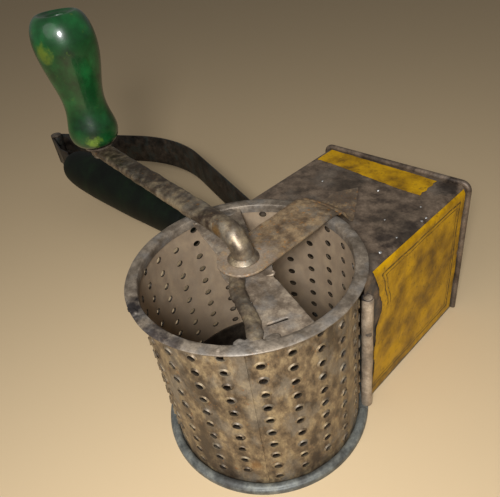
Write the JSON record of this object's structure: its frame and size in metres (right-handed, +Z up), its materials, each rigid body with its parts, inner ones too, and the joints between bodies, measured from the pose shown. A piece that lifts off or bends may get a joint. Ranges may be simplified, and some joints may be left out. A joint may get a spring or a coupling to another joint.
{
  "type": "rotary cabbage shredder",
  "caption": "Hand-cranked drum shredder with a sheet-metal hopper, a squeeze handle with a presser plate and a round crank knob.",
  "frame": {"origin": "on the drum's axis, on the underside of the back plate that rests on the table", "axes": "+Z up along the drum's axis to its open end, +Y out of the hopper's mouth, +X away from the handle"},
  "size_m": [0.3407, 0.1513, 0.1577],
  "materials": {
    "tinned_plate": "tinned sheet, aged dull and brownish",
    "tinned_drum": "tinned sheet, worn, with solder at the seams",
    "galvanised": "zinc coated, bluish grey",
    "wire": "drawn iron wire",
    "rivet_steel": "soft iron, dull",
    "strap_steel": "tinned, with specks of rust",
    "bar_steel": "dark hot-rolled bar",
    "spring_steel": "dark blued strip, browning",
    "crank_steel": "forged rod, tinned, worn at the bend",
    "grip_wood": "turned wood, very dark green paint",
    "knob_paint": "turned wood under glossy green enamel",
    "label_paper": "yellow paper label, aged and blank"
  },
  "bodies": {
    "frame": {"back_plate": "tinned_plate", "hopper_shell": "tinned_plate", "edge_wires": "wire", "mouth_wire": "wire", "rear_pivot": "rivet_steel", "bearing_strap": "strap_steel", "handle_tang": "bar_steel", "tang_rivets": "rivet_steel", "grip": "grip_wood", "grip_pins": "rivet_steel", "hinge_bracket": "bar_steel", "bracket_rivet": "rivet_steel", "hinge_pin": "rivet_steel", "side_label": "label_paper", "top_label": "label_paper"},
    "drum": {"drum_shell": "tinned_drum", "drum_rim": "tinned_drum", "drum_web": "tinned_drum", "drum_end_cup": "galvanised", "rear_bush": "rivet_steel", "crank": "crank_steel", "shaft_collar": "rivet_steel", "knob_washer": "rivet_steel", "knob_spindle": "rivet_steel"},
    "knob": {"crank_knob": "knob_paint"},
    "lever": {"press_lever": "spring_steel", "presser_plate": "tinned_plate", "presser_rivets": "rivet_steel"}
  },
  "joints": [
    {"name": "drum_spin", "type": "hinge", "parent": "frame", "child": "drum", "pos_m": [0, 0, 0.04], "axis": [0, 0, 1], "continuous": true},
    {"name": "knob_spin", "type": "hinge", "parent": "drum", "child": "knob", "pos_m": [-0.11754, 0.01339, 0.127], "axis": [0, 0, 1], "continuous": true},
    {"name": "lever_squeeze", "type": "hinge", "parent": "frame", "child": "lever", "pos_m": [-0.291, 0.059, 0.032], "axis": [0, 0, 1], "range_deg": [-2.4, 32]}
  ]
}
